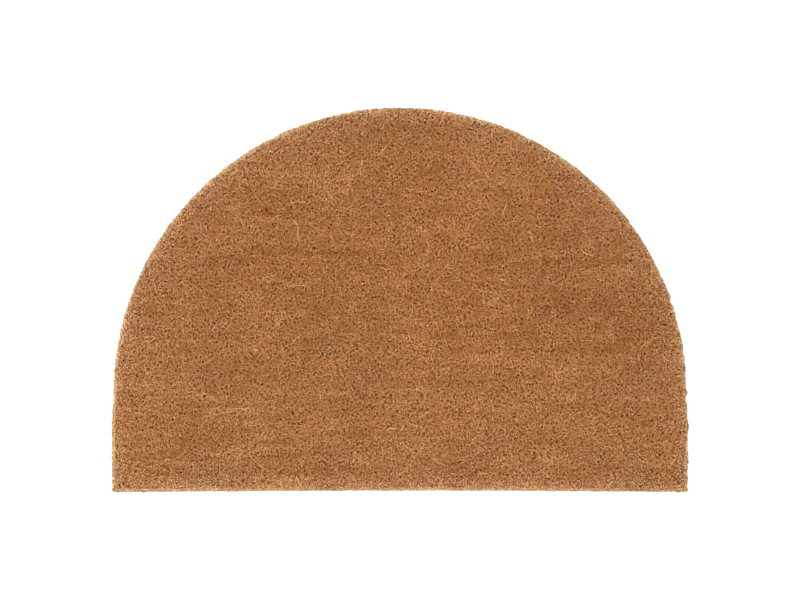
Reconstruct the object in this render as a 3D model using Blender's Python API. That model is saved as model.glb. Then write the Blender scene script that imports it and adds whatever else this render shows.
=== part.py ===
"""Half-round coir doormat: a dense coir pile on a die-cut backing sheet, lying flat.

Lengths are in metres and +Z is up. The origin is on the floor, in the middle of the mat's
bounding box. The straight front edge faces -Y and the crown of the arc faces +Y.
"""

import math

import bmesh
import bpy

# Driving dimensions.
WIDTH = 0.600  # along the straight front edge
DEPTH = 0.400  # from the front edge to the crown of the arc
THICKNESS = 0.015  # from the floor to the mean height of the pile
BACKING_THICKNESS = 0.002
SEAM_GAP = 0.0003  # between the backing and the foot of the pile
BACKING_LIP = 0.0008  # how far the backing shows past the pile, all round

# The cut isn't a perfect half-round.
ARC_RADIUS = 0.2985
FLARE_LENGTH = 0.030  # the flanks widen from the arc's radius to half the width over this length
FRONT_BOW = 0.0015  # the front edge is drawn in by this much at its middle
CUT_WANDER = 0.0005  # the arc bulges on its right half and is drawn in on its left half, by this much

# The pile was brushed and sheared, which leaves a soft shoulder and long low waves.
SHOULDER = 0.0022  # the rim's tufts spread, so the top edge is rounded by this much
LONG_WAVE = (0.00035, 0.230, 0.052, 0.4)  # height, wavelength along X and Y, phase
CROSS_WAVE = (0.00020, -0.117, 0.037, 2.2)
WAVE_FADE = 0.020  # the waves die out over this distance from the rim

# How finely the curves are drawn.
ARC_STEP = math.radians(2.0)
FRONT_STEP = 0.015
FLARE_STEPS = 4
SHOULDER_STEPS = 3
TOP_CELL_X = 0.020
TOP_CELL_Y = 0.008
SHARP_ANGLE = math.radians(35.0)
SAME_PLACE = 0.00001  # two heights closer than this are the same one
LEVEL = 0.999  # least upward part of a level face's normal

FRONT_Y = -DEPTH / 2
SPRING_Y = DEPTH / 2 - ARC_RADIUS  # where the flanks end and the arc begins
PILE_FOOT = BACKING_THICKNESS + SEAM_GAP

COIR_TAN = (0.376, 0.156, 0.056)
COIR_ROUGHNESS = 0.95
BACKING_CREAM = (0.60, 0.49, 0.32)
BACKING_ROUGHNESS = 0.6


def clear_scene():
    for obj in list(bpy.data.objects):
        bpy.data.objects.remove(obj)


def finish(name, colour, roughness):
    """A plain Principled material."""
    material = bpy.data.materials.new(name)
    material.use_nodes = True
    shader = material.node_tree.nodes["Principled BSDF"]
    shader.inputs["Base Color"].default_value = (*colour, 1.0)
    shader.inputs["Roughness"].default_value = roughness
    shader.inputs["Metallic"].default_value = 0.0
    return material


def front_edge(inset):
    """The front edge's points, from left to right, drawn in at its middle."""
    steps = round(WIDTH / FRONT_STEP)
    for i in range(steps + 1):
        along = 2 * i / steps - 1
        yield (WIDTH / 2 - inset) * along, FRONT_Y + inset + FRONT_BOW * (1 - along * along)


def right_flare(inset):
    """The points where the right flank widens, from the front up to just below the arc's end."""
    for i in range(FLARE_STEPS):
        drop = 1 - i / FLARE_STEPS
        ease = (1 - math.cos(math.pi * drop)) / 2
        yield ARC_RADIUS + (WIDTH / 2 - ARC_RADIUS) * ease - inset, SPRING_Y - drop * FLARE_LENGTH


def arc(inset):
    """The arc's points, from its right end over the crown to its left end."""
    steps = round(math.pi / ARC_STEP)
    for i in range(steps + 1):
        angle = math.pi * i / steps
        radius = ARC_RADIUS - inset + CUT_WANDER * math.sin(2 * angle) ** 3
        yield radius * math.cos(angle), SPRING_Y + radius * math.sin(angle)


def half_round(inset):
    """The mat's outline, counter-clockwise from the front left corner, drawn in all round by inset."""
    right = list(right_flare(inset))
    left = [(-x, y) for x, y in reversed(right)]
    return [*front_edge(inset), *right, *arc(inset), *left]


def cut_sheet(inset, bottom, top):
    """A flat solid of the mat's outline, with a single face on each side."""
    solid = bmesh.new()
    foot = solid.faces.new([solid.verts.new((x, y, bottom)) for x, y in half_round(inset)])
    risen = bmesh.ops.extrude_face_region(solid, geom=[foot])["geom"]
    top_verts = [item for item in risen if isinstance(item, bmesh.types.BMVert)]
    bmesh.ops.translate(solid, verts=top_verts, vec=(0.0, 0.0, top - bottom))
    bmesh.ops.recalc_face_normals(solid, faces=solid.faces)
    return solid


def to_object(solid, name, material, collection):
    """Writes the shape to a mesh and gives it its object, name and material."""
    bmesh.ops.triangulate(solid, faces=solid.faces)
    mesh = bpy.data.meshes.new(name)
    solid.to_mesh(mesh)
    solid.free()
    mesh.materials.append(material)
    mesh.shade_smooth()
    mesh.set_sharp_from_angle(angle=SHARP_ANGLE)
    obj = bpy.data.objects.new(name, mesh)
    collection.objects.link(obj)
    return obj


def round_the_shoulder(solid):
    """Rounds the top rim, where the outermost tufts have nothing beside them."""
    top = max(solid.faces, key=lambda face: face.calc_center_median().z)
    bmesh.ops.bevel(
        solid,
        geom=list(top.edges),
        offset=SHOULDER,
        segments=SHOULDER_STEPS,
        profile=0.5,
        affect="EDGES",
    )


def cut_top(solid, place, normal):
    """Cuts the level top along one upright plane."""
    faces = [face for face in solid.faces if face.normal.z > LEVEL]
    edges = {edge for face in faces for edge in face.edges}
    verts = {vert for face in faces for vert in face.verts}
    bmesh.ops.bisect_plane(
        solid,
        geom=[*faces, *edges, *verts],
        dist=SAME_PLACE,
        plane_co=place,
        plane_no=normal,
    )


def cut_top_into_cells(solid):
    """Cuts the top along a grid, so that it can follow the pile's waves."""
    columns = math.floor(WIDTH / 2 / TOP_CELL_X)
    rows = math.floor(DEPTH / 2 / TOP_CELL_Y)
    for column in range(-columns, columns + 1):
        cut_top(solid, (column * TOP_CELL_X, 0, 0), (1, 0, 0))
    for row in range(-rows, rows + 1):
        cut_top(solid, (0, row * TOP_CELL_Y, 0), (0, 1, 0))


def room_to_rim(x, y):
    """About how far a point of the top is from the mat's cut edge."""
    to_front = y - FRONT_Y
    if y > SPRING_Y:
        return min(to_front, ARC_RADIUS - math.hypot(x, y - SPRING_Y))
    return min(to_front, ARC_RADIUS - abs(x))


def pile_wave(x, y):
    """How far the sheared pile stands above or below its mean height."""
    room = max(0.0, room_to_rim(x, y) - BACKING_LIP - SHOULDER)
    fade = min(1.0, room / WAVE_FADE)
    return fade * sum(
        height * math.sin(2 * math.pi * (x / wave_x + y / wave_y) + phase)
        for height, wave_x, wave_y, phase in (LONG_WAVE, CROSS_WAVE)
    )


def backing(collection):
    """The sheet that the coir is set in. Its cut edge shows as a pale line round the pile."""
    solid = cut_sheet(0.0, 0.0, BACKING_THICKNESS)
    cream = finish("backing_sheet", BACKING_CREAM, BACKING_ROUGHNESS)
    return to_object(solid, "backing", cream, collection)


def pile(collection):
    """The coir itself: upright fibres, packed into one springy slab and sheared level."""
    solid = cut_sheet(BACKING_LIP, PILE_FOOT, THICKNESS)
    round_the_shoulder(solid)
    cut_top_into_cells(solid)
    for vert in solid.verts:
        if abs(vert.co.z - THICKNESS) < SAME_PLACE:
            vert.co.z += pile_wave(vert.co.x, vert.co.y)
    return to_object(solid, "pile", finish("coir", COIR_TAN, COIR_ROUGHNESS), collection)


def main():
    clear_scene()
    doormat = bpy.data.collections.new("half_round_coir_doormat")
    bpy.context.scene.collection.children.link(doormat)
    backing(doormat)
    pile(doormat)


main()
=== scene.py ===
"""Half-round coir doormat: its fibres, its backing and the plain setting it is shown in.

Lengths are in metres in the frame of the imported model: +X along the straight front edge, +Y towards
the crown of the arc and +Z up out of the pile, with the origin on the floor under the mat's middle.
"""

import math

import bpy
import numpy as np
from bpy.props import FloatProperty, FloatVectorProperty, IntProperty, PointerProperty
from bpy.types import Operator, Panel, PropertyGroup
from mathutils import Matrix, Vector


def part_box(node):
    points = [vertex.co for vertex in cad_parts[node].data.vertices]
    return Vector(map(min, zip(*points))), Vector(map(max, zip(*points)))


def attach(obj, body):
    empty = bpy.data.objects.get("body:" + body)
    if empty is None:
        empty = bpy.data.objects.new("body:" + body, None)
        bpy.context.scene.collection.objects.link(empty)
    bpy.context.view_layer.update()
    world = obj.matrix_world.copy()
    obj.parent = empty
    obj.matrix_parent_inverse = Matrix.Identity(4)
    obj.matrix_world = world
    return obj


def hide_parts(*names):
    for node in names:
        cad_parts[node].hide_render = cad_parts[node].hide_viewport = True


bl_info = {
    "name": "Half-round coir doormat",
    "version": (1, 0, 0),
    "blender": (4, 5, 0),
    "location": "3D View > Sidebar > Doormat",
    "description": "Makes the fibres, the backing and the setting of a half-round coir doormat",
    "category": "Object",
}

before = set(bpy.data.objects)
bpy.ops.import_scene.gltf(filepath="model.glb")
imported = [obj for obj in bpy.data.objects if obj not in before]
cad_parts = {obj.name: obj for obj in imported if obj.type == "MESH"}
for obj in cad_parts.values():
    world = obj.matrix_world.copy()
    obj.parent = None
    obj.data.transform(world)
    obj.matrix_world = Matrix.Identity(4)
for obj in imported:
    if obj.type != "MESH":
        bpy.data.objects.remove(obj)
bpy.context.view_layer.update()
BACKING_LOW, BACKING_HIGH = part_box("backing")
PILE_LOW, PILE_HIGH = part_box("pile")
WIDTH = BACKING_HIGH.x - BACKING_LOW.x
DEPTH = BACKING_HIGH.y - BACKING_LOW.y
FRONT = BACKING_LOW.y
MM = 0.001
COIR = "coir_fibres"  # the name of the material that all fibres share
FULL_TURN = 2 * math.pi

# The UV map in which each fibre has a cell of its own, and the values that each point of a fibre carries.
FIBRE_MAP = "OFBake"
# A fibre's shade holds its own tone and also the painted shade of the pits, the painted highlight of
# their lips and the painted light near the rim.
SHADE = "shade"  # 0 for the darkest husk, 1 for the palest straw
REDNESS = "redness"  # below 0 for greyer fibres, above 0 for redder ones
HEIGHT = "height"  # 0 at the root and 1 at the cut tip
UPWARDS = 2.4  # how strongly a fibre's sides face upwards, as against their own way

# Broad soft marks that the loom and the brush left: middle X and Y, half length along X, half width
# along Y, all in millimetres, then how much paler and how much redder the fibres are there.
MARKS = (
    (-22, 172, 66, 15, -0.10, -1.1),
    (186, -7, 82, 14, -0.12, -0.5),
    (176, 60, 58, 13, -0.08, -0.4),
    (185, 38, 92, 2.5, -0.11, -0.4),
    (250, -30, 28, 40, -0.08, -0.5),
    (-165, 40, 48, 3, -0.11, -0.4),
    (-95, 51, 62, 4, -0.07, -0.2),
    (-125, 88, 50, 7, -0.07, -0.3),
    (-140, 94, 6, 3, -0.45, -0.2),
    (-157, 115, 2.5, 2, -0.40, -0.2),
    (-172, 99, 8, 6, 0.18, 0.3),
    (0, -178, 330, 4.5, -0.09, -0.4),
    (240, -177, 50, 4, -0.05, -0.2),
    (0, -165, 330, 4.5, 0.04, 0.1),
    (235, -164, 60, 6.5, 0.09, 0.2),
    (-225, -166, 60, 8, 0.08, 0.2),
    (5, -5, 2.5, 70, 0.10, 0.3),
    (113, 0, 2.5, 32, 0.12, 0.4),
    (62, 40, 62, 110, -0.01, 0.4),
    (-65, 33, 70, 34, -0.02, 0.3),
    (94, -62, 75, 7, 0.10, 0.5),
    (-20, -122, 260, 50, 0.075, 0.3),
    (125, -46, 55, 18, -0.08, 0.0),
    (135, -174, 15, 7, 0.16, 0.6),
    (268, -150, 20, 30, 0.10, 0.6),
    (-270, -130, 22, 60, 0.07, 0.4),
    (-294, -130, 12, 70, 0.12, 0.2),
    (0, -194, 330, 8, 0.08, 0.4),
)
MARK_SEED = 5
MARK_WANDERS = ((4, 38 * MM), (2, 13 * MM))  # how many millimetres the marks wander, and over what length

# The soft drifts of shade: length of a lump along X, its width along Y, and strength.
DRIFTS = ((70 * MM, 8 * MM, 0.38), (28 * MM, 3.2 * MM, 0.22), (60 * MM, 45 * MM, 0.26))
DRIFT_REDNESS = 4.6  # how much redder the fibres are where a drift makes them paler

# The lamps: name, place and width.
OVERHEAD_LAMP = ("overhead", (0.0, 0.0, 3.0), 2.0)
SIDE_LAMP = ("upper_left", (-2.2, 1.6, 1.8), 1.0)
FLOOR_WIDTH = 60.0
FLOOR_DROP = 0.2 * MM  # the floor lies this far under the mat
FLOOR_GREY = 0.6


def length(name, description, default):
    """A length that a user may change."""
    return FloatProperty(
        name=name, description=description, default=default, min=0.0, unit="LENGTH", precision=5
    )


def colour(name, description, default):
    """A colour that a user may change."""
    return FloatVectorProperty(
        name=name, description=description, default=default, min=0.0, max=1.0, subtype="COLOR"
    )


class PileSettings(PropertyGroup):
    """The fibres of the sheared top."""

    spacing: length("Spacing", "Distance between neighbouring fibres", 1.1 * MM)
    thickness: length("Thickness", "Mean width of a fibre at its cut tip", 0.85 * MM)
    root_height: length("Root height", "Height at which the fibres come out of the crowd", 11.5 * MM)
    top: length("Top", "Mean height over the floor at which the pile was sheared", 15.0 * MM)
    lean: length("Lean", "How far a typical tip stands to the side of its root", 1.4 * MM)
    lock: length("Lock size", "Distance over which neighbouring fibres lean alike", 4.0 * MM)
    pit_pitch: length("Pit pitch", "Distance between the small pits of the sheared top", 3.1 * MM)
    pit_radius: length("Pit radius", "Radius of the small pits of the sheared top", 0.95 * MM)
    pieces: IntProperty(
        name="Pieces", description="Number of meshes that share the fibres", default=5, min=1
    )
    seed: IntProperty(name="Seed", description="Seed of all random draws", default=11)


class RimSettings(PropertyGroup):
    """The fibres that stand free round the rim."""

    spacing: length("Spacing", "Distance between neighbouring fibres along the rim", 0.66 * MM)
    band: length("Band", "Width of the rim whose fibres stand free from foot to tip", 2.8 * MM)
    splay: length("Splay", "How far the outermost tips stand out past their roots", 1.25 * MM)
    thickness: length("Thickness", "Mean width of a fibre at its cut tip", 0.75 * MM)
    rows: IntProperty(name="Rows", description="Rows of fibres in the band", default=5, min=1)


class StraySettings(PropertyGroup):
    """The loose fibres that lie on the top."""

    reach: length("Length", "Mean length of a loose fibre on the top", 16.0 * MM)
    thickness: length("Thickness", "Mean width of a loose fibre", 0.3 * MM)
    count: IntProperty(name="Count", description="Number of loose fibres", default=450, min=0)


class FinishSettings(PropertyGroup):
    """The colours."""

    # Husk and brown are also the colours of the painted shade in the pits and in the bed.
    husk: colour("Husk", "The darkest fibres, deep in the pits", (0.105, 0.0165, 0.0010))
    brown: colour("Brown", "Dark brown fibres", (0.210, 0.0585, 0.0058))
    tan: colour("Tan", "The colour of most fibres", (0.344, 0.150, 0.0395))
    gold: colour("Gold", "Pale golden fibres", (0.453, 0.238, 0.098))
    straw: colour("Straw", "The palest fibres", (0.55, 0.345, 0.182))
    cream: colour("Cream", "The backing sheet", (0.55, 0.45, 0.30))


class StageSettings(PropertyGroup):
    """The light and the camera."""

    room: FloatProperty(name="Room light", description="Strength of the white room", default=1.5)
    overhead: FloatProperty(
        name="Overhead lamp", description="Power of the lamp over the mat", default=160.0, unit="POWER"
    )
    side: FloatProperty(
        name="Side lamp", description="Power of the lamp at the upper left", default=120.0, unit="POWER"
    )
    seen_width: length("Seen width", "Width of the picture at the top of the pile", 833.3 * MM)
    lens: FloatProperty(
        name="Lens", description="Focal length", default=150.0, min=1.0, unit="CAMERA"
    )


def smooth_noise(x, y, cell_x, cell_y, rng):
    """Smooth random hills from -1 to 1 with cells of that size, read at the points x, y."""
    spare = 2  # cells of the table that lie past the mat's low sides
    u = (x - BACKING_LOW.x) / cell_x + spare
    v = (y - BACKING_LOW.y) / cell_y + spare
    cells = (int(WIDTH / cell_x) + 3 * spare, int(DEPTH / cell_y) + 3 * spare)
    table = rng.uniform(-1, 1, cells)
    i, j = np.floor(u).astype(int), np.floor(v).astype(int)
    fu, fv = u - i, v - j
    fu, fv = fu * fu * (3 - 2 * fu), fv * fv * (3 - 2 * fv)
    low = table[i, j] * (1 - fu) + table[i + 1, j] * fu
    high = table[i, j + 1] * (1 - fu) + table[i + 1, j + 1] * fu
    return low * (1 - fv) + high * fv


def pits(x, y, pitch, radius, rng):
    """How deep each point lies in the small pits, below 0 on the lips round them, which are not raised
    but only get a painted highlight.
    """
    spare = 3  # cells that lie past the mat's low sides
    deepest = 1.7
    rarity = 2.2  # most pits are shallow
    lip_share, lip_width = 0.2, 2.2
    u = (x - BACKING_LOW.x) / pitch + spare
    v = (y - BACKING_LOW.y) / pitch + spare
    cells = (int(WIDTH / pitch) + 8, int(DEPTH / pitch) + 8)
    place_u, place_v = rng.uniform(0.1, 0.9, (2, *cells))
    depth = deepest * rng.uniform(0, 1, cells) ** rarity
    i, j = np.floor(u).astype(int), np.floor(v).astype(int)
    sunk = np.zeros(len(x))
    for a in (-1, 0, 1):
        for b in (-1, 0, 1):
            cell = (i + a, j + b)
            gap = pitch * np.hypot(u - cell[0] - place_u[cell], v - cell[1] - place_v[cell])
            near = np.exp(-((gap / radius) ** 2))
            lip = np.exp(-((gap / (lip_width * radius)) ** 2))
            sunk += depth[cell] * (near - lip_share * lip)
    return sunk


def marks(x, y):
    """How much paler and how much redder the fibres are at each point, from the broad soft marks."""
    rng = np.random.default_rng(MARK_SEED)
    paler = np.zeros(len(x))
    redder = np.zeros(len(x))
    wander = sum(height * smooth_noise(x, y, cell, cell, rng) for height, cell in MARK_WANDERS)
    for middle_x, middle_y, half_x, half_y, pale, red in MARKS:
        u = (x / MM - middle_x) / half_x
        v = (y / MM - middle_y + wander) / half_y
        share = np.exp(-((u**4 + v**4) ** 0.5))
        paler += pale * share
        redder += red * share
    return paler, redder


def rim_of(node):
    """The outline of a CAD node at its foot, in order round the mat."""
    points = np.array([v.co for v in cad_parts[node].data.vertices])
    foot = points[points[:, 2] < points[:, 2].min() + 0.1 * MM, :2]
    foot = np.unique(foot.round(7), axis=0)
    return foot[np.argsort(np.arctan2(foot[:, 1], foot[:, 0]))]


def room_inside(points, rim):
    """How far each point lies inside a rim, less than zero outside, and exact only near the rim."""
    turn = np.arctan2(points[:, 1], points[:, 0])
    reach = np.interp(turn, np.arctan2(rim[:, 1], rim[:, 0]), np.hypot(*rim.T), period=FULL_TURN)
    share = np.hypot(*points.T) / reach
    room = (1 - share) * DEPTH / 2
    close = np.flatnonzero((share > 0.9) & (share < 1.02))
    room[close] = exact_room(points[close], rim)
    return room


def exact_room(points, rim, batch=20000):
    """The same by measuring to every side of the rim, a batch of points at a time."""
    run = np.roll(rim, -1, axis=0) - rim
    outward = np.stack([run[:, 1], -run[:, 0]], 1) / np.linalg.norm(run, axis=1)[:, None]
    room = np.empty(len(points))
    for first in range(0, len(points), batch):
        part = points[first : first + batch]
        gap = part[:, None] - rim
        along = ((gap * run).sum(2) / (run * run).sum(1)).clip(0, 1)
        gap -= along[:, :, None] * run
        span = np.linalg.norm(gap, axis=2)
        nearest = span.argmin(1)
        rows = np.arange(len(part))
        side = (gap[rows, nearest] * outward[nearest]).sum(1)
        room[first : first + batch] = np.where(side < 0, 1, -1) * span[rows, nearest]
    return room


def scattered(spacing, rng, spread=0.45):
    """Points on a jittered grid of staggered rows over the mat's box."""
    row_gap = spacing * math.sqrt(3) / 2
    columns = np.arange(BACKING_LOW.x - spacing, BACKING_HIGH.x + spacing, spacing)
    rows = np.arange(BACKING_LOW.y - spacing, BACKING_HIGH.y + spacing, row_gap)
    x, y = np.meshgrid(columns, rows)
    x = x + (np.arange(len(rows)) % 2 * spacing / 2)[:, None]
    points = np.stack([x.ravel(), y.ravel()], 1)
    return points + rng.uniform(-spread, spread, points.shape) * spacing


def along_rim(rim, spacing, inset, rng):
    """Jittered points at even steps round a rim, drawn in by inset, and the way outwards there."""
    closed = np.vstack([rim, rim[:1]])
    run = np.diff(closed, axis=0)
    outward = np.stack([run[:, 1], -run[:, 0]], 1) / np.linalg.norm(run, axis=1)[:, None]
    reach = np.concatenate([[0], np.cumsum(np.hypot(*run.T))])
    count = int(reach[-1] / spacing)
    at = (np.arange(count) + rng.uniform(0.1, 0.9, count)) * reach[-1] / count
    away = outward[np.searchsorted(reach, at) - 1]
    points = np.stack([np.interp(at, reach, closed[:, k]) for k in range(2)], 1)
    return points - away * inset, away


def fibre_faces(rings, pointed):
    """The corners of one three-sided fibre's faces and how many corners each face has, root first."""
    first = 1 if pointed else 0
    corners, sizes = ([], []) if pointed else ([2, 1, 0], [3])
    for k in range(3):
        m = (k + 1) % 3
        if pointed:
            corners += [1 + k, 1 + m, 0]
            sizes.append(3)
        for r in range(rings - 1):
            a = first + 3 * r
            corners += [a + k, a + m, a + 3 + m, a + 3 + k]
            sizes.append(4)
    last = first + 3 * (rings - 1)
    return corners + [last, last + 1, last + 2], sizes + [3]


def fibre_points(spine, width, pointed, rng):
    """The points of three-sided fibres round their spines, and the way that each point faces.

    Coir lets light through, so every point faces upwards more than its side does.
    """
    count = len(spine)
    way = np.gradient(spine, axis=1)
    way /= np.linalg.norm(way, axis=2)[:, :, None]
    turn = rng.uniform(0, FULL_TURN, count)
    rough_side = np.stack([np.cos(turn), np.sin(turn), 0.3 * np.cos(3 * turn)], 1)
    side = np.cross(way, rough_side[:, None])
    side /= np.linalg.norm(side, axis=2)[:, :, None]
    other = np.cross(way, side)
    angles = np.arange(3)[:, None] * FULL_TURN / 3
    ring = side[:, :, None] * np.cos(angles) + other[:, :, None] * np.sin(angles)
    first = 1 if pointed else 0
    spread = ring[:, first:] * width[:, first:, None, None] / 2
    points = (spine[:, first:, None] + spread).reshape(count, -1, 3)
    facing = (ring[:, first:] + (0, 0, UPWARDS)).reshape(count, -1, 3)
    if pointed:
        points = np.concatenate([spine[:, :1], points], 1)
        facing = np.concatenate([np.tile([0.0, 0.0, 1.0], (count, 1, 1)), facing], 1)
    return points, facing / np.linalg.norm(facing, axis=2)[:, :, None]


def fibre_map(count, stations, pointed):
    """The place of each fibre's points in the UV map, where each fibre has a cell of its own."""
    first = 1 if pointed else 0
    height = np.repeat(np.linspace(0, 1, stations)[first:], 3)
    across = np.tile([0.0, 0.5, 1.0], stations - first)
    lift = np.tile([0.0, 1.0, 0.0], stations - first)
    if pointed:
        height, across, lift = (
            np.concatenate([[start], values])
            for start, values in ((0, height), (0.5, across), (0, lift))
        )
    edge, used = 0.12, 0.76  # each fibre has a square cell of its own, with a free edge
    lift_share = 0.15  # keeps the end faces from having no area in the map
    cells = math.ceil(math.sqrt(count))
    cell = np.arange(count)
    u = (cell % cells)[:, None] + edge + used * across
    v = (cell // cells)[:, None] + edge + used * ((1 - lift_share) * height + lift_share * lift)
    return np.stack([u, v], 2).reshape(-1, 2) / cells, np.tile(height, count)


def strands(name, spine, width, shade, redness, material, pointed=False):
    """Makes one mesh of many three-sided fibres.

    spine is an array of fibre, station and place, width one of fibre and station, and shade and
    redness hold one value for each fibre. A pointed fibre starts from a single point at its root.
    """
    count, stations = width.shape
    rng = np.random.default_rng(count)
    points, facing = fibre_points(spine, width, pointed, rng)
    per_fibre = points.shape[1]
    corners, sizes = fibre_faces(stations - (1 if pointed else 0), pointed)
    corners = (np.array(corners)[None] + np.arange(count)[:, None] * per_fibre).ravel()
    sizes = np.tile(sizes, count)

    mesh = bpy.data.meshes.new(name)
    mesh.vertices.add(count * per_fibre)
    mesh.vertices.foreach_set("co", points.astype(np.float32).ravel())
    mesh.loops.add(len(corners))
    mesh.loops.foreach_set("vertex_index", corners.astype(np.int32))
    mesh.polygons.add(len(sizes))
    mesh.polygons.foreach_set("loop_start", (np.cumsum(sizes) - sizes).astype(np.int32))
    mesh.update(calc_edges=True)

    place, height = fibre_map(count, stations, pointed)
    layer = mesh.uv_layers.new(name=FIBRE_MAP)
    layer.uv.foreach_set("vector", place[corners].astype(np.float32).ravel())
    put_values(mesh, HEIGHT, height)
    put_values(mesh, SHADE, np.repeat(shade, per_fibre))
    put_values(mesh, REDNESS, np.repeat(redness, per_fibre))
    mesh.shade_smooth()
    mesh.materials.append(material)
    mesh.validate()
    mesh.normals_split_custom_set_from_vertices(facing.reshape(-1, 3))
    piece = bpy.data.objects.new(name, mesh)
    bpy.context.scene.collection.objects.link(piece)
    return piece


def put_values(mesh, name, values):
    """Stores one value for each point of a mesh."""
    layer = mesh.attributes.new(name, "FLOAT", "POINT")
    layer.data.foreach_set("value", values.astype(np.float32))


class Node:
    """A socket of a material's node tree, on which sums and products add Math nodes."""

    def __init__(self, tree, socket):
        self.tree = tree
        self.socket = socket

    def math(self, operation, other):
        return Shader(self.tree).add("ShaderNodeMath", {"operation": operation}, {0: self, 1: other})

    def __add__(self, other):
        return self.math("ADD", other)

    def __sub__(self, other):
        return self.math("SUBTRACT", other)

    def __mul__(self, other):
        return self.math("MULTIPLY", other)

    def __rsub__(self, other):
        return self * -1.0 + other

    __radd__ = __add__
    __rmul__ = __mul__


class Shader:
    """Adds nodes to a material's tree."""

    def __init__(self, tree):
        self.tree = tree

    def add(self, kind, settings=None, inputs=None, output=0):
        """Adds a node with its settings first and then the values or links of its sockets."""
        node = self.tree.nodes.new(kind)
        for name, value in (settings or {}).items():
            if name == "stops":
                self.set_stops(node.color_ramp, value)
            else:
                setattr(node, name, value)
        for socket, value in (inputs or {}).items():
            if isinstance(value, Node):
                self.tree.links.new(value.socket, node.inputs[socket])
            else:
                node.inputs[socket].default_value = value
        return Node(self.tree, node.outputs[output])

    def attribute(self, name):
        """A value that the mesh's points carry."""
        return self.add("ShaderNodeAttribute", {"attribute_name": name}, output="Fac")

    def noise(self, place, size_x, size_y, detail=2.0):
        """Noise about 0 whose lumps have that size along X and Y."""
        scale = (1 / size_x, 1 / size_y, 1 / min(size_x, size_y))
        spot = self.add("ShaderNodeMapping", {"vector_type": "POINT"}, {"Vector": place, "Scale": scale})
        inputs = {"Vector": spot, "Scale": 1.0, "Detail": detail}
        return self.add("ShaderNodeTexNoise", {"noise_dimensions": "3D"}, inputs) - 0.5

    def ramp(self, stops, factor):
        """A colour that runs through the stops."""
        return self.add("ShaderNodeValToRGB", {"stops": stops}, {"Fac": factor})

    def mix(self, factor, low, high):
        """A colour between two others."""
        inputs = {"Factor": factor, "A": (*low, 1.0), "B": (*high, 1.0)}
        return self.add("ShaderNodeMix", {"data_type": "RGBA"}, inputs, output="Result")

    def bump(self, height, distance):
        """The way a surface faces with small bumps of that height on it."""
        inputs = {"Strength": 0.6, "Distance": distance, "Height": height}
        return self.add("ShaderNodeBump", None, inputs, output="Normal")

    def times(self, one, other):
        """The product of two colours."""
        return self.add("ShaderNodeVectorMath", {"operation": "MULTIPLY"}, {0: one, 1: other})

    def link(self, value, socket):
        self.tree.links.new(value.socket, socket)

    @staticmethod
    def set_stops(ramp, stops):
        """Gives a colour ramp these places and colours alone."""
        while len(ramp.elements) > 1:
            ramp.elements.remove(ramp.elements[-1])
        ramp.elements[0].position = stops[0][0]
        ramp.elements[0].color = (*stops[0][1], 1.0)
        for place, shade in stops[1:]:
            ramp.elements.new(place).color = (*shade, 1.0)


def new_material(name, roughness):
    """A plain Principled material, its node adder and its shader."""
    material = bpy.data.materials.new(name)
    material.use_nodes = True
    shader = material.node_tree.nodes["Principled BSDF"]
    shader.inputs["Roughness"].default_value = roughness
    return material, Shader(material.node_tree), shader


def coir_material(finish):
    """Coir: each fibre has its own shade, darker at its root from dust and painted shade, with soft
    streaks along the rows.
    """
    if COIR in bpy.data.materials:
        return bpy.data.materials[COIR]
    material, add, shader = new_material(COIR, 0.8)
    shader.inputs["Specular IOR Level"].default_value = 0.0
    place = add.add("ShaderNodeTexCoord", output="Object")
    streak, thin_streak, patch = (add.noise(place, *size) * strength for *size, strength in DRIFTS)
    drift = streak + thin_streak + patch
    tone = add.attribute(SHADE) + drift
    stops = (
        (0.0, finish.husk),
        (0.25, finish.brown),
        (0.5, finish.tan),
        (0.75, finish.gold),
        (1.0, finish.straw),
    )
    hue = add.noise(place, 35 * MM, 22 * MM) * 1.8 + add.attribute(REDNESS) + drift * DRIFT_REDNESS
    tints = ((0.0, (0.74, 1.10, 1.90)), (0.25, (0.89, 1.035, 1.21)), (1.0, (1.22, 0.93, 0.58)))
    tint = add.ramp(tints, hue * 0.18 + 0.5)
    # Dust and painted shade: each fibre darkens towards its root, down in the pile.
    depth = add.mix(add.attribute(HEIGHT) * 1.4, (0.80, 0.66, 0.52), (1.0, 1.0, 1.0))
    add.link(add.times(add.times(add.ramp(stops, tone), tint), depth), shader.inputs["Base Color"])
    add.link(0.95 - tone * 0.25, shader.inputs["Roughness"])
    return material


def bed_material(finish):
    """The crowded lower part of the pile, seen between the fibres, dark from dust and painted shade."""
    material, add, shader = new_material("coir_bed", 0.9)
    place = add.add("ShaderNodeTexCoord", output="Object")
    grain = add.noise(place, 1.2 * MM, 1.2 * MM) + 0.5
    stops = ((0.2, finish.husk), (1.0, finish.brown))
    add.link(add.ramp(stops, grain), shader.inputs["Base Color"])
    add.link(add.bump(grain, 0.8 * MM), shader.inputs["Normal"])
    return material


def backing_material(finish):
    """A cream sheet, cast over the feet of the coir: flecked, faintly mottled and a little uneven."""
    material, add, shader = new_material("backing_sheet_cream", 0.6)
    place = add.add("ShaderNodeTexCoord", output="Object")
    fleck = add.noise(place, 3.0 * MM, 0.7 * MM, 3.0) + 0.5
    mottle = add.noise(place, 38 * MM, 30 * MM)
    pebble = add.noise(place, 2.2 * MM, 2.2 * MM, 1.0)
    flecked, dulled, bright = (tuple(c * share for c in finish.cream) for share in (0.45, 0.86, 1.08))
    stops = ((0.26, flecked), (0.36, dulled), (0.7, bright))
    add.link(add.ramp(stops, fleck + mottle * 0.3), shader.inputs["Base Color"])
    add.link(0.6 + mottle * 0.3 + pebble * 0.2, shader.inputs["Roughness"])
    add.link(add.bump(pebble, 0.3 * MM), shader.inputs["Normal"])
    return material


def deselect_all():
    """Clears the selection before an operator that works on it."""
    for obj in bpy.context.selected_objects:
        obj.select_set(False)


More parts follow.
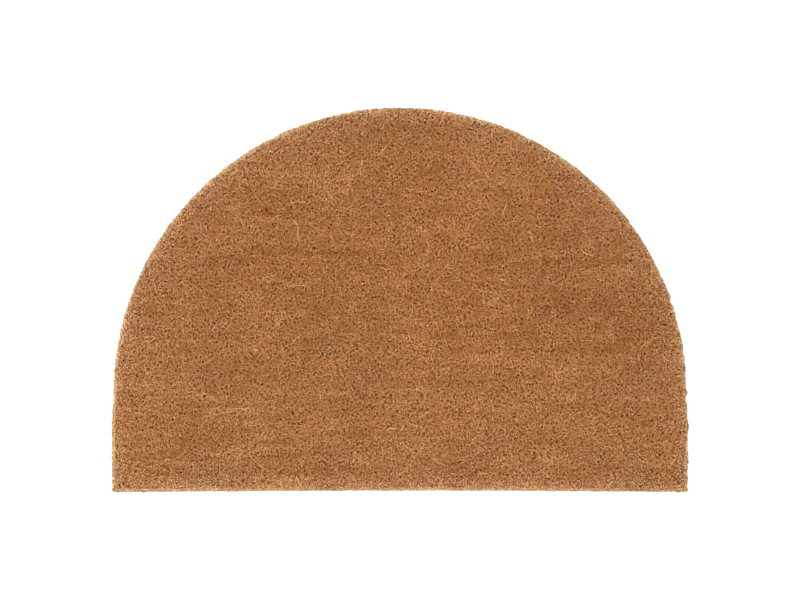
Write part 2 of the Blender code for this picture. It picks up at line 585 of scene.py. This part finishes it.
def make_bed(finish):
    """The crowded lower part of the pile, as a closed slab a little inside the fibres."""
    inset = 0.5 * MM
    bed_top = 12.0 * MM
    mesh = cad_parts["pile"].data.copy()
    mesh.name = "pile_bed"
    bed = bpy.data.objects.new("pile_bed", mesh)
    bpy.context.scene.collection.objects.link(bed)
    deselect_all()
    bed.select_set(True)
    bpy.context.view_layer.objects.active = bed
    bpy.ops.object.mode_set(mode="EDIT")
    bpy.ops.mesh.select_all(action="SELECT")
    bpy.ops.mesh.remove_doubles(threshold=0.01 * MM)
    bpy.ops.object.mode_set(mode="OBJECT")
    span = PILE_HIGH - PILE_LOW
    points = np.array([v.co for v in mesh.vertices])
    points[:, 0] *= 1 - 2 * inset / span.x
    points[:, 1] *= 1 - 2 * inset / span.y
    lift = (points[:, 2] - PILE_LOW.z) / span.z
    points[:, 2] = PILE_LOW.z + lift * (bed_top - PILE_LOW.z)
    mesh.vertices.foreach_set("co", points.astype(np.float32).ravel())
    mesh.update()
    mesh.materials.clear()
    mesh.materials.append(bed_material(finish))
    return bed


def rim_painted_light(points, room, front):
    """Painted light near the rim: how much paler the fibres there are made, for the side light and floor
    light that they catch.

    The upper left of the arc is the palest part of it, and a band along the front edge is paler by
    that much again.
    """
    palest = math.radians(130)
    near_reach, wide_reach, wide_strength = 4.5 * MM, 18.0 * MM, 0.21
    turn = np.arctan2(points[:, 1], points[:, 0])
    in_front = points[:, 1] < FRONT + 12 * MM
    strength = 0.32 + 0.08 * np.cos(turn - palest) + front * in_front
    near, wide = (np.exp(-room.clip(0, None) / reach) for reach in (near_reach, wide_reach))
    return strength * near + wide_strength * wide


def lean_sideways(settings, x, y, room, rng):
    """How far each tip leans. Neighbours lean alike, and those at the rim stand straighter."""
    alike, alone = 0.6, 0.7
    count = len(x)
    lock = [smooth_noise(x, y, settings.lock, settings.lock, rng) for _ in range(2)]
    shift = settings.lean * (alike * np.stack(lock, 1) + alone * rng.normal(0, 1, (count, 2)))
    return shift * (room / (1.5 * MM)).clip(0.4, 1)[:, None]


def body_spines(settings, roots, shift, room, sunk, rng):
    """Roots and tips of the top's fibres: lower at the rim's shoulder and in the pits."""
    shoulder_drop, shoulder_width = 0.7 * MM, 2.5 * MM
    uneven, pit_drop, swell = 0.35 * MM, 2.4 * MM, 0.3 * MM
    x, y = roots.T
    count = len(roots)
    shoulder = shoulder_drop * (1 - room / shoulder_width).clip(0, 1) ** 2
    drop = np.abs(rng.normal(0, uneven, count)) + pit_drop * sunk.clip(0, None) + shoulder
    spine = np.empty((count, 2, 3))
    spine[:, 0, :2] = roots - 0.4 * shift
    spine[:, 0, 2] = settings.root_height
    spine[:, 1, :2] = roots + 0.6 * shift
    spine[:, 1, 2] = settings.top + swell * smooth_noise(x, y, 30 * MM, 12 * MM, rng) - drop
    return spine


def body_colours(roots, room, sunk, rng):
    """Shade and redness of the top's fibres: painted shade in the pits, a painted highlight on their lips
    and painted light near the rim.
    """
    middle, mottled, pit_painted_shade, front = 0.518, 0.03, 1.85, 0.45
    varied, palest_alone, palest = 0.09, 0.03, 0.76
    x, y = roots.T
    count = len(roots)
    paler, redder = marks(x, y)
    # Painted shade darkens the fibres in the pits; below 0, on the lips, the same term is a painted
    # highlight.
    shade = middle + mottled * smooth_noise(x, y, 3 * MM, 2.5 * MM, rng) - pit_painted_shade * sunk
    own = np.minimum(rng.normal(0, varied, count), palest_alone)
    # Painted light pales the fibres near the rim, and more along the front edge.
    shade += own + paler + rim_painted_light(roots, room, front)
    # Near the rim the palest shade is let higher, so that the painted light shows.
    shade = np.minimum(shade.clip(0, None), palest + (1 - palest) * np.exp(-room / (8 * MM)))
    rim_redness = 0.6 * np.exp(-room / (5 * MM))
    return shade, redder - 0.20 + rim_redness + rng.normal(0, 0.05, count)


def make_body(settings, rim, material, rng):
    """The fibres of the pile's top, in a few meshes."""
    roots = scattered(settings.spacing, rng)
    room = room_inside(roots, rim)
    kept = room > 0.3 * MM
    roots, room = roots[kept], room[kept]
    count = len(roots)
    shift = lean_sideways(settings, *roots.T, room, rng)
    sunk = pits(*roots.T, settings.pit_pitch, settings.pit_radius, rng)
    spine = body_spines(settings, roots, shift, room, sunk, rng)
    width = np.zeros((count, 2))
    width[:, 1] = settings.thickness * rng.lognormal(0, 0.22, count)
    shade, redness = body_colours(roots, room, sunk, rng)
    made = []
    for k in range(settings.pieces):
        part = slice(k, None, settings.pieces)
        values = (spine[part], width[part], shade[part], redness[part])
        made.append(strands(f"fibres_{k + 1}", *values, material, pointed=True))
    return made


def rim_roots(settings, rim, rng):
    """Roots of the rim's fibres, the way outwards there, and how deep in the band each row stands."""
    rows = []
    for row in range(settings.rows):
        depth = settings.band * (row + 0.3) / settings.rows
        roots, away = along_rim(rim, settings.spacing, depth, rng)
        rows.append((roots, away, np.full(len(roots), depth)))
    return (np.concatenate(parts) for parts in zip(*rows))


def rim_spines(settings, pile, roots, away, free, rng):
    """The curved spines of the rim's fibres, which splay in tufts, most on the right and at the top."""
    tuft_size, ragged_right = 4.5 * MM, 0.27
    widest, sideways, uneven, outer_drop = math.radians(115), 0.5 * MM, 0.6 * MM, 1.4 * MM
    count = len(roots)
    tuft = smooth_noise(*roots.T, tuft_size, tuft_size, rng)
    ragged = 0.35 + 0.6 * (roots[:, 0] > ragged_right)
    turn = np.arctan2(roots[:, 1], roots[:, 0])
    splay = settings.splay * (1 + 0.2 * np.cos(turn - widest))
    out = splay * (0.1 + 1.1 * free) * (1 + ragged * tuft) + rng.normal(0, 0.15 * MM, count)
    beside = np.stack([-away[:, 1], away[:, 0]], 1) * rng.normal(0, sideways, count)[:, None]
    drop = np.abs(rng.normal(0, uneven, count)) + outer_drop * free**2

    share = np.array([0.0, 0.6, 1.0])
    bend = share**2
    spine = np.empty((count, 3, 3))
    spine[:, :, :2] = roots[:, None] + (away * out[:, None] + beside)[:, None] * bend[:, None]
    spine[:, :, 2] = PILE_LOW.z + (pile.top - drop - PILE_LOW.z)[:, None] * share
    return spine


def make_rim(settings, pile, rim, material, rng):
    """The fibres of the rim, which are seen from foot to tip."""
    middle, outer_darkness, varied, front = -0.02, 0.19, 0.18, 0.05
    greyness, outer_greyness = 2.3, 0.7
    roots, away, depth = rim_roots(settings, rim, rng)
    count = len(roots)
    free = 1 - depth / settings.band
    spine = rim_spines(settings, pile, roots, away, free, rng)
    width = settings.thickness * np.outer(rng.lognormal(0, 0.2, count), (0.6, 0.85, 1.0))
    paler, redder = marks(*roots.T)
    shade = middle - outer_darkness * free + rng.normal(0, varied, count) + paler
    # Painted light pales the rim's fibres, most at the upper left of the arc.
    shade += rim_painted_light(roots, depth, front)
    redness = redder - greyness - outer_greyness * free + rng.normal(0, 0.1, count)
    return strands("rim_fibres", spine, width, shade.clip(0, 1), redness, material)


def make_strays(settings, pile, rim, material, rng):
    """Loose curled fibres that lie on the top."""
    stations = 7
    sunk_ends, low_rise, high_rise = 0.4 * MM, 0.2 * MM, 1.3 * MM
    curl, mean_shade = 1.6, 0.68
    roots = rng.uniform(0, 1, (3 * settings.count, 2)) * (WIDTH, DEPTH) + (BACKING_LOW.x, FRONT)
    room = room_inside(roots, rim)
    reach = settings.reach * rng.lognormal(0, 0.35, len(roots))
    kept = np.flatnonzero(room > 0.6 * reach)[: settings.count]
    roots, reach = roots[kept], reach[kept]
    count = len(roots)
    share = np.linspace(0, 1, stations)
    turn = rng.uniform(0, FULL_TURN, count)[:, None]
    turn = turn + rng.normal(0, curl, count)[:, None] * (share - 0.5)
    step = reach[:, None] / (stations - 1)
    run = np.stack([np.cos(turn) * step, np.sin(turn) * step], 2)
    path = np.cumsum(run, axis=1) - run.sum(1, keepdims=True) / 2
    spine = np.empty((count, stations, 3))
    spine[:, :, :2] = roots[:, None] + path
    rise = rng.uniform(low_rise, high_rise, count)[:, None]
    spine[:, :, 2] = pile.top - sunk_ends + rise * np.sin(math.pi * share)
    width = settings.thickness * np.outer(rng.lognormal(0, 0.25, count), 1 - 0.5 * share**3)
    shade = rng.normal(mean_shade, 0.12, count).clip(0, 1)
    return strands("stray_fibres", spine, width, shade, rng.normal(0, 0.15, count), material)


def put_on_pile(piece):
    """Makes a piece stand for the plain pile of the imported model."""
    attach(piece, "root")
    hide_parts("pile")


class DOORMAT_OT_fibres(Operator):
    """Makes the fibres of the sheared top"""

    bl_idname = "doormat.fibres"
    bl_label = "Fibres"

    def execute(self, context):
        pile = context.scene.doormat_pile
        coir = coir_material(context.scene.doormat_finish)
        for piece in make_body(pile, rim_of("pile"), coir, np.random.default_rng(pile.seed)):
            put_on_pile(piece)
        return {"FINISHED"}


class DOORMAT_OT_rim(Operator):
    """Makes the fibres that stand free round the rim"""

    bl_idname = "doormat.rim"
    bl_label = "Rim fibres"

    def execute(self, context):
        scene = context.scene
        coir = coir_material(scene.doormat_finish)
        rng = np.random.default_rng(scene.doormat_pile.seed + 1)
        put_on_pile(make_rim(scene.doormat_rim, scene.doormat_pile, rim_of("pile"), coir, rng))
        return {"FINISHED"}


class DOORMAT_OT_strays(Operator):
    """Makes the loose fibres that lie on the top"""

    bl_idname = "doormat.strays"
    bl_label = "Loose fibres"

    def execute(self, context):
        scene = context.scene
        coir = coir_material(scene.doormat_finish)
        rng = np.random.default_rng(scene.doormat_pile.seed + 2)
        put_on_pile(make_strays(scene.doormat_strays, scene.doormat_pile, rim_of("pile"), coir, rng))
        return {"FINISHED"}


class DOORMAT_OT_bed(Operator):
    bl_idname = "doormat.bed"
    bl_label = "Pile bed"

    def execute(self, context):
        bed = make_bed(context.scene.doormat_finish)
        put_on_pile(bed)
        return {"FINISHED"}


class DOORMAT_OT_backing(Operator):
    """Gives the backing its finish"""

    bl_idname = "doormat.backing"
    bl_label = "Backing"

    def execute(self, context):
        finish = context.scene.doormat_finish
        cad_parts["backing"].data.materials[0] = backing_material(finish)
        return {"FINISHED"}


class DOORMAT_OT_stage(Operator):
    """Makes the floor, the lights and the camera"""

    bl_idname = "doormat.stage"
    bl_label = "Stage"

    def execute(self, context):
        stage = context.scene.doormat_stage
        make_floor()
        light_the_room(context.scene, stage.room)
        hang_lamp(*OVERHEAD_LAMP, stage.overhead)
        hang_lamp(*SIDE_LAMP, stage.side)
        place_camera(context.scene, stage)
        return {"FINISHED"}


def make_floor():
    """A plain pale floor just under the mat."""
    deselect_all()
    bpy.ops.mesh.primitive_plane_add(size=FLOOR_WIDTH, location=(0, 0, 0))
    floor = bpy.context.active_object
    floor.name = "floor"
    for corner in floor.data.vertices:
        corner.co.z = -FLOOR_DROP
    material, _, shader = new_material("pale_floor", 0.9)
    shader.inputs["Base Color"].default_value = (FLOOR_GREY, FLOOR_GREY, FLOOR_GREY, 1)
    shader.inputs["Specular IOR Level"].default_value = 0.0
    floor.data.materials.append(material)


def light_the_room(scene, strength):
    """Even white light from all round."""
    world = scene.world or bpy.data.worlds.new("pale_room")
    scene.world = world
    world.use_nodes = True
    background = world.node_tree.nodes["Background"]
    background.inputs["Color"].default_value = (1, 1, 1, 1)
    background.inputs["Strength"].default_value = strength
    scene.view_settings.view_transform = "Standard"


def hang_lamp(name, place, size, power):
    """A round soft lamp that faces the middle of the mat."""
    data = bpy.data.lights.new(name, "AREA")
    data.shape = "DISK"
    data.size = size
    data.energy = power
    lamp = bpy.data.objects.new(name, data)
    lamp.location = place
    lamp.rotation_mode = "QUATERNION"
    lamp.rotation_quaternion = (-Vector(place)).to_track_quat("-Z", "Y")
    bpy.context.scene.collection.objects.link(lamp)


def place_camera(scene, stage):
    """A long lens that looks straight down at the pile's top."""
    data = bpy.data.cameras.new("camera")
    data.lens = stage.lens
    data.clip_end = 100
    distance = stage.seen_width * data.lens / data.sensor_width
    camera = bpy.data.objects.new("camera", data)
    camera.location = (0, 0, distance + scene.doormat_pile.top)
    scene.collection.objects.link(camera)
    scene.camera = camera


class DOORMAT_PT_panel(Panel):
    """Lists the operators in the sidebar"""

    bl_label = "Half-round doormat"
    bl_idname = "DOORMAT_PT_panel"
    bl_space_type = "VIEW_3D"
    bl_region_type = "UI"
    bl_category = "Doormat"

    def draw(self, context):
        for operator in OPERATORS:
            self.layout.operator(operator.bl_idname)


SETTINGS = {
    "doormat_pile": PileSettings,
    "doormat_rim": RimSettings,
    "doormat_strays": StraySettings,
    "doormat_finish": FinishSettings,
    "doormat_stage": StageSettings,
}
OPERATORS = (
    DOORMAT_OT_fibres,
    DOORMAT_OT_rim,
    DOORMAT_OT_strays,
    DOORMAT_OT_bed,
    DOORMAT_OT_backing,
    DOORMAT_OT_stage,
)
CLASSES = (*SETTINGS.values(), *OPERATORS, DOORMAT_PT_panel)


def register():
    for cls in CLASSES:
        bpy.utils.register_class(cls)
    for name, cls in SETTINGS.items():
        setattr(bpy.types.Scene, name, PointerProperty(type=cls))


def unregister():
    for name in SETTINGS:
        delattr(bpy.types.Scene, name)
    for cls in reversed(CLASSES):
        bpy.utils.unregister_class(cls)


def main():
    """Makes every piece."""
    register()
    bpy.ops.doormat.fibres()
    bpy.ops.doormat.rim()
    bpy.ops.doormat.strays()
    bpy.ops.doormat.bed()
    bpy.ops.doormat.backing()
    bpy.ops.doormat.stage()


if __name__ == "__main__":
    main()
